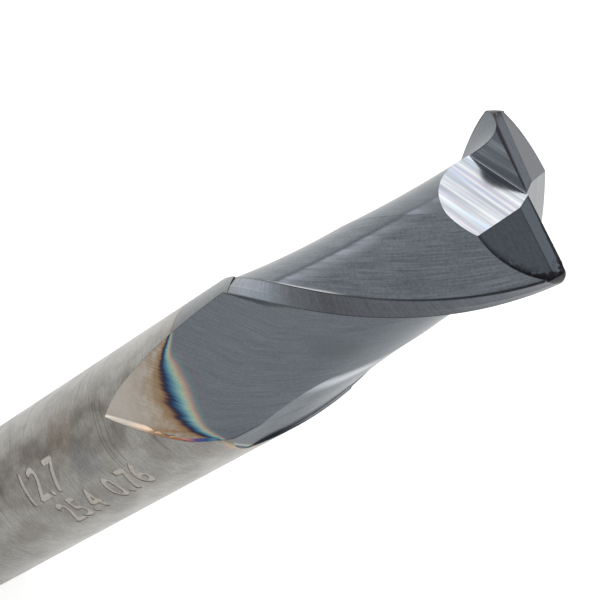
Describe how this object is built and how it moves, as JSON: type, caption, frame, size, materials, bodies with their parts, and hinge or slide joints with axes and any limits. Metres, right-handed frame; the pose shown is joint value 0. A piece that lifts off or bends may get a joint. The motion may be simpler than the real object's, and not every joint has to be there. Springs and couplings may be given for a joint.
{
  "type": "corner radius end mill",
  "caption": "Straight round shank with helical flutes, relieved lands, dished and gashed end teeth and small convex radii on the cutting corners.",
  "frame": {"origin": "centre of the shank's flat end, which the tool stands on", "axes": "+Z along the tool's axis, from the shank to the cutting end, and +X through one tooth's cutting corner at the tip"},
  "size_m": [0.0126, 0.0126, 0.0762],
  "materials": {
    "carbide": "ground"
  },
  "bodies": {
    "root": {"end_mill": "carbide"}
  },
  "joints": []
}
